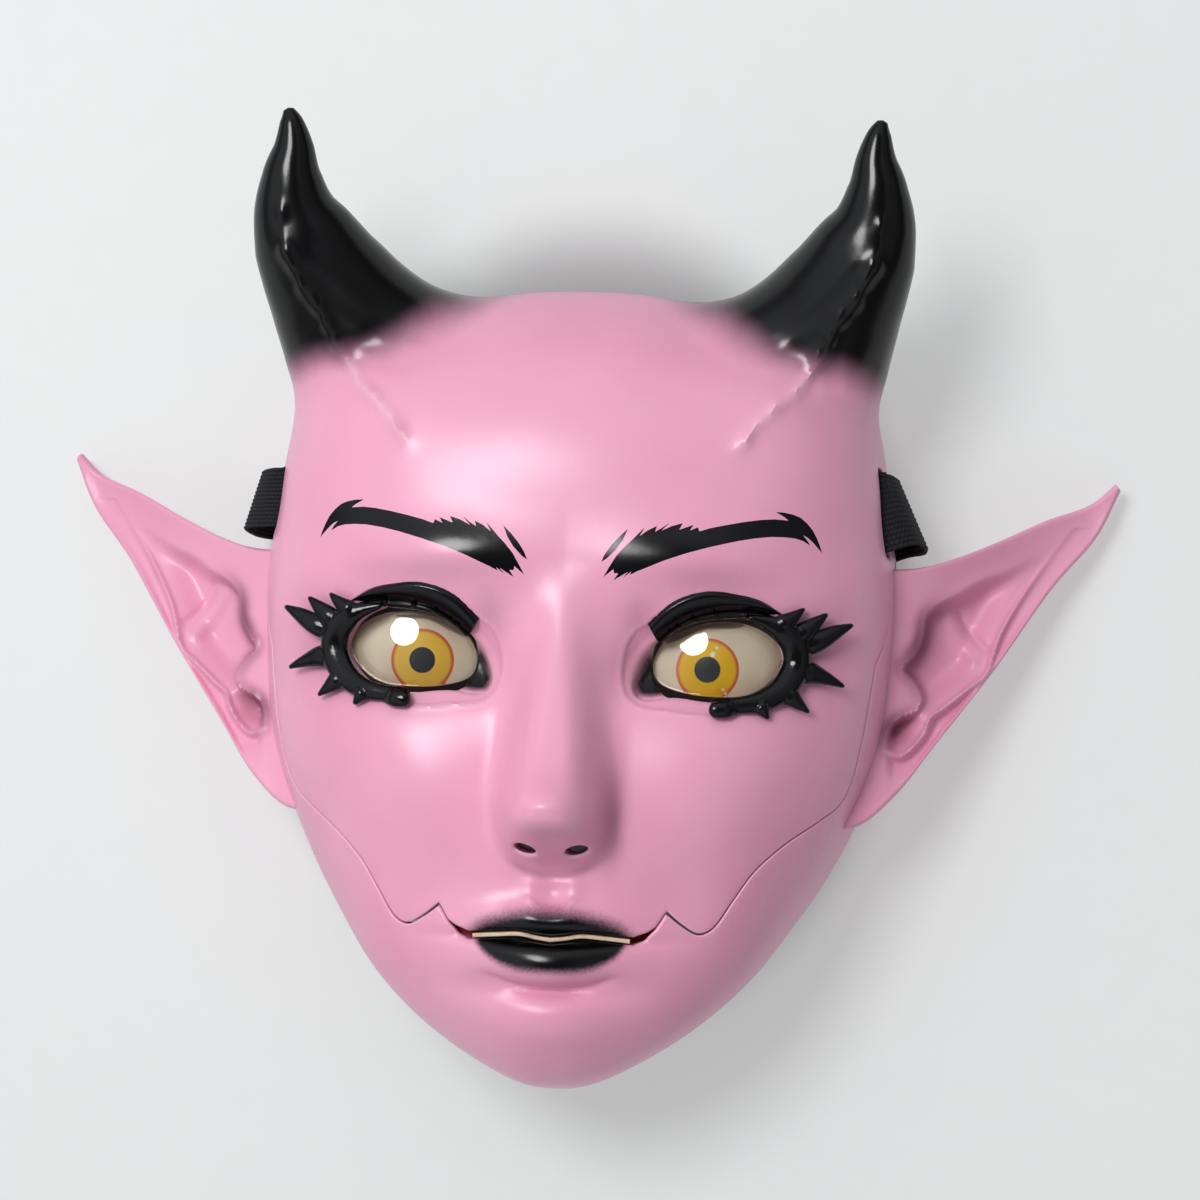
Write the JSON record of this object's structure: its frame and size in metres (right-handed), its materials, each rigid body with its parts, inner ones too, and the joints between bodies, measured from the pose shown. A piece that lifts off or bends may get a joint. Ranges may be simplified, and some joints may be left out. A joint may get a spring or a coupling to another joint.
{
  "type": "horned creature mask",
  "caption": "Hollow moulded face mask with curved horns, long pointed ears, clear-domed eyes, cut lashes and a hinged lower jaw, worn on a knitted elastic band.",
  "frame": {"origin": "on the table under the middle of the mask's overall length and width, the mask lying on its back", "axes": "+Z out of the face, +Y up the face towards the horns, +X across the face to the right of a person looking at it"},
  "size_m": [0.3212, 0.2792, 0.1175],
  "materials": {
    "painted_skin": "rose pink paint shaded with black airbrush, semi-gloss varnish",
    "black_gloss": "satin black",
    "eye_print": "cream with a printed amber iris",
    "clear_lens": "clear, polished",
    "cream_teeth": "smooth cream",
    "red_liner": "dark red paint",
    "knit_elastic": "black ribbed knit"
  },
  "bodies": {
    "face": {"face_shell": "painted_skin", "eyelid_right": "black_gloss", "eyelid_left": "black_gloss", "lash_right": "black_gloss", "lash_left": "black_gloss", "eye_right": "eye_print", "eye_left": "eye_print", "eye_lens_right": "clear_lens", "eye_lens_left": "clear_lens", "upper_teeth": "cream_teeth", "head_strap": "knit_elastic"},
    "jaw": {"jaw_shell": "painted_skin", "ear_right": "painted_skin", "ear_left": "painted_skin", "mouth_liner": "red_liner", "hinge_cap_right": "black_gloss", "hinge_cap_left": "black_gloss"}
  },
  "joints": [
    {"name": "jaw_hinge", "type": "hinge", "parent": "face", "child": "jaw", "pos_m": [0, -0.00541, 0.023], "axis": [1, 0, 0], "range_deg": [0, 10]}
  ]
}
